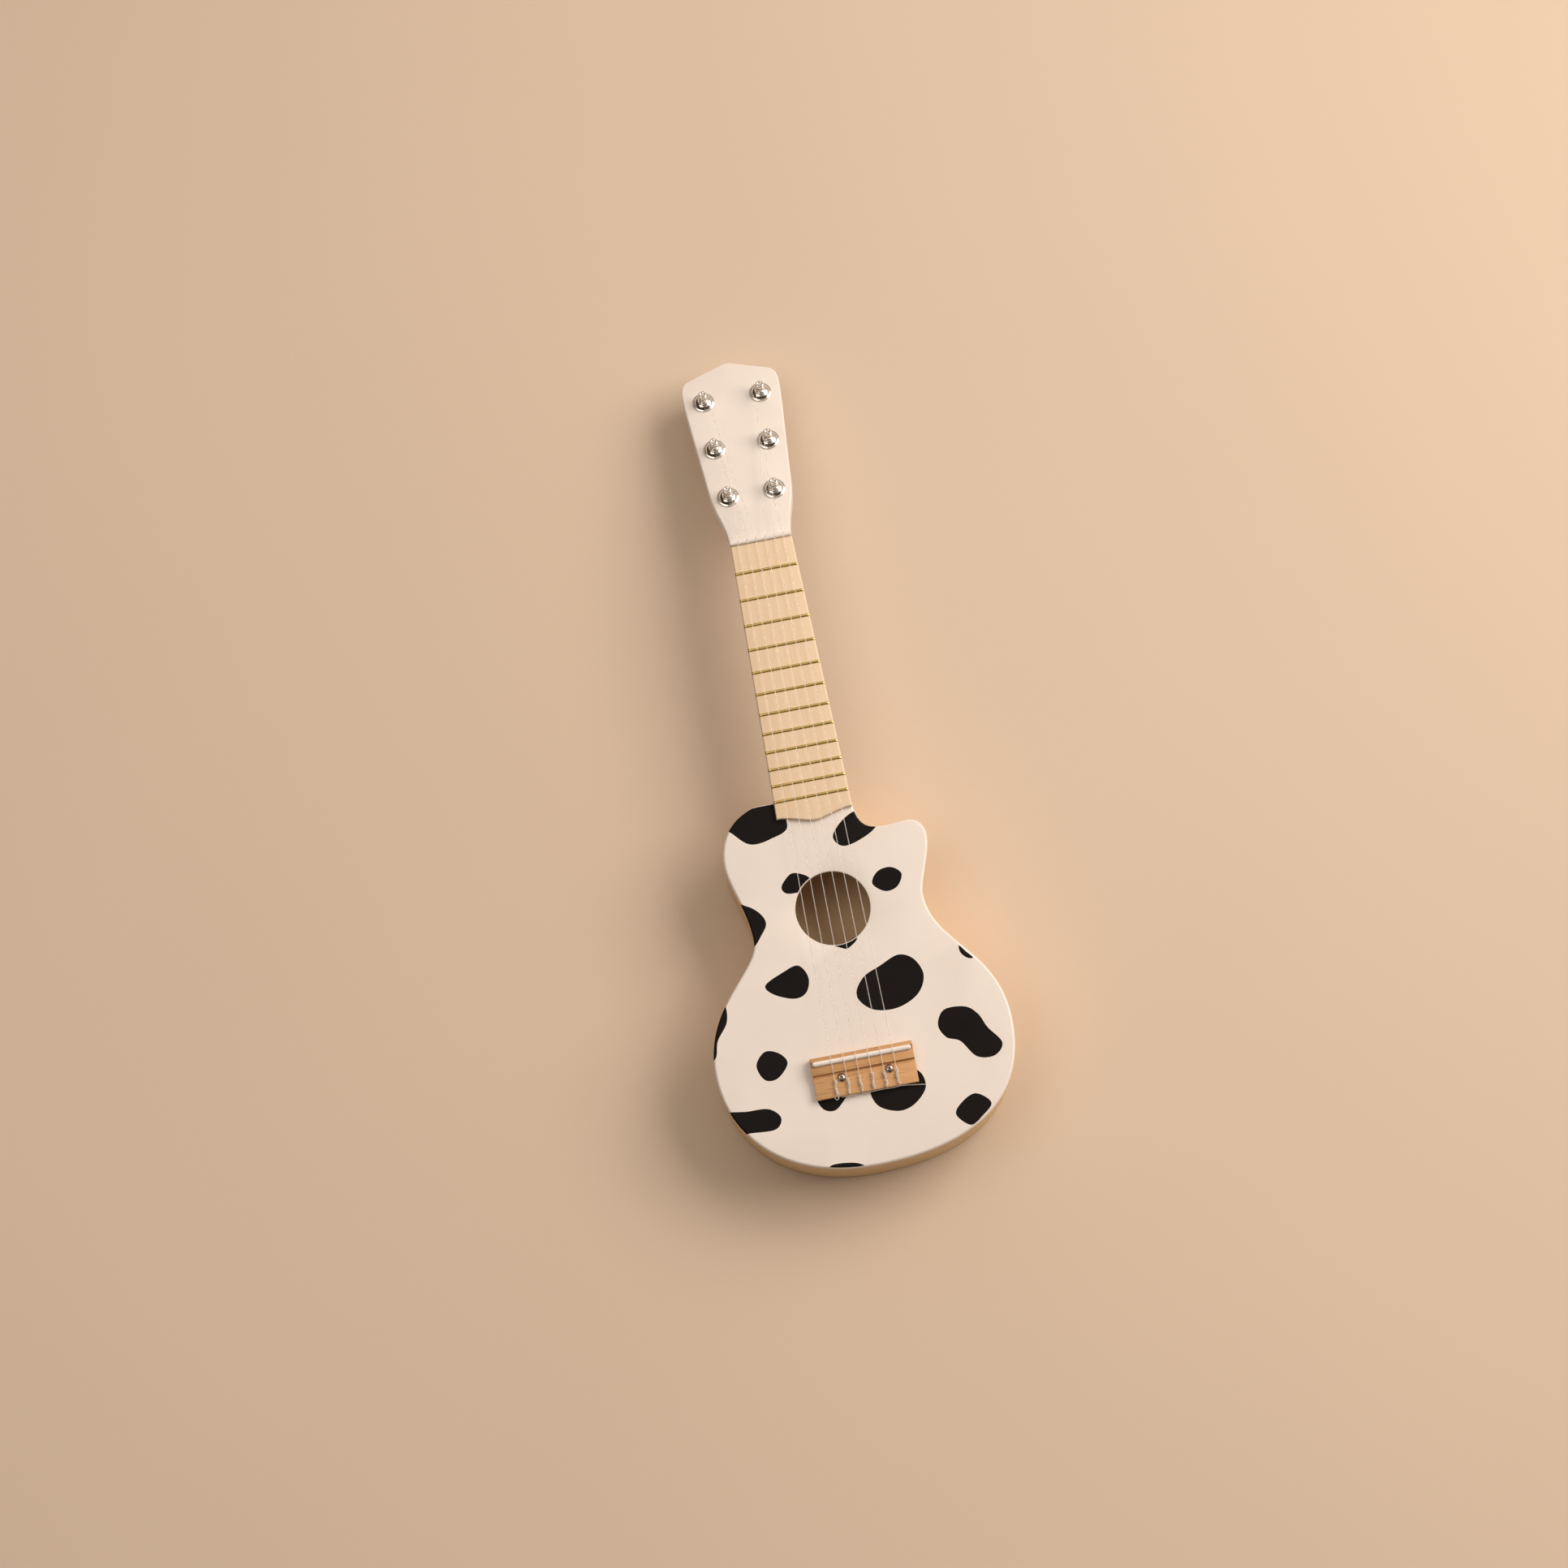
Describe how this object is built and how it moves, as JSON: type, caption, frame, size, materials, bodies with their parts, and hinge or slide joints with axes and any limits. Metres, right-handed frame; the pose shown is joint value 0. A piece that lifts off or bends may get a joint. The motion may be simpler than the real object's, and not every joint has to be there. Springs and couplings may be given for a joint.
{
  "type": "toy guitar",
  "caption": "Small wooden toy guitar with a hollow cow-spotted body and cutaway, fretted neck, tie bridge, nylon strings and turning friction pegs.",
  "frame": {"origin": "on the plane of the back, under the centre of the sound hole", "axes": "+X to the cutaway side, +Y along the neck to the head, +Z out of the face"},
  "size_m": [0.1853, 0.5413, 0.0574],
  "materials": {
    "body_paint": "white satin paint on wood, with a black spot print on the soundboard",
    "raw_wood": "clear satin on pale plywood and softwood",
    "board_wood": "satin pale maple",
    "bridge_wood": "open-grained oiled wood",
    "fret_brass": "drawn brass wire",
    "white_plastic": "moulded white plastic",
    "chrome": "bright plating",
    "screw_metal": "bright zinc",
    "string_nylon": "clear nylon monofilament"
  },
  "bodies": {
    "guitar": {"soundboard": "body_paint", "back_plate": "raw_wood", "rib_left": "raw_wood", "rib_right": "raw_wood", "lining_top_left": "raw_wood", "lining_top_right": "raw_wood", "lining_back_left": "raw_wood", "lining_back_right": "raw_wood", "neck_block": "raw_wood", "end_block": "raw_wood", "brace_top_upper": "raw_wood", "brace_top_lower": "raw_wood", "brace_back_upper": "raw_wood", "brace_back_lower": "raw_wood", "bridge_patch": "raw_wood", "neck": "body_paint", "fretboard": "board_wood", "fret_1": "fret_brass", "fret_2": "fret_brass", "fret_3": "fret_brass", "fret_4": "fret_brass", "fret_5": "fret_brass", "fret_6": "fret_brass", "fret_7": "fret_brass", "fret_8": "fret_brass", "fret_9": "fret_brass", "fret_10": "fret_brass", "fret_11": "fret_brass", "fret_12": "fret_brass", "nut": "white_plastic", "bridge": "bridge_wood", "saddle_rod": "white_plastic", "bridge_screws": "screw_metal", "tuner_ferrules": "chrome", "tuner_washers": "chrome", "string_1": "string_nylon", "string_2": "string_nylon", "string_3": "string_nylon", "string_4": "string_nylon", "string_5": "string_nylon", "string_6": "string_nylon"},
    "peg_1": {"peg_post_1": "chrome", "peg_button_1": "white_plastic", "peg_screw_1": "screw_metal"},
    "peg_2": {"peg_post_2": "chrome", "peg_button_2": "white_plastic", "peg_screw_2": "screw_metal"},
    "peg_3": {"peg_post_3": "chrome", "peg_button_3": "white_plastic", "peg_screw_3": "screw_metal"},
    "peg_4": {"peg_post_4": "chrome", "peg_button_4": "white_plastic", "peg_screw_4": "screw_metal"},
    "peg_5": {"peg_post_5": "chrome", "peg_button_5": "white_plastic", "peg_screw_5": "screw_metal"},
    "peg_6": {"peg_post_6": "chrome", "peg_button_6": "white_plastic", "peg_screw_6": "screw_metal"}
  },
  "joints": [
    {"name": "peg_1_turn", "type": "hinge", "parent": "guitar", "child": "peg_1", "pos_m": [0.0152, 0.28028, 0.0431], "axis": [0, 0.1736, 0.9848], "continuous": true},
    {"name": "peg_2_turn", "type": "hinge", "parent": "guitar", "child": "peg_2", "pos_m": [0.0178, 0.31672, 0.03667], "axis": [0, 0.1736, 0.9848], "continuous": true},
    {"name": "peg_3_turn", "type": "hinge", "parent": "guitar", "child": "peg_3", "pos_m": [0.019, 0.35286, 0.0303], "axis": [0, 0.1736, 0.9848], "continuous": true},
    {"name": "peg_4_turn", "type": "hinge", "parent": "guitar", "child": "peg_4", "pos_m": [-0.019, 0.35286, 0.0303], "axis": [0, 0.1736, 0.9848], "continuous": true},
    {"name": "peg_5_turn", "type": "hinge", "parent": "guitar", "child": "peg_5", "pos_m": [-0.0178, 0.31672, 0.03667], "axis": [0, 0.1736, 0.9848], "continuous": true},
    {"name": "peg_6_turn", "type": "hinge", "parent": "guitar", "child": "peg_6", "pos_m": [-0.0152, 0.28028, 0.0431], "axis": [0, 0.1736, 0.9848], "continuous": true}
  ]
}
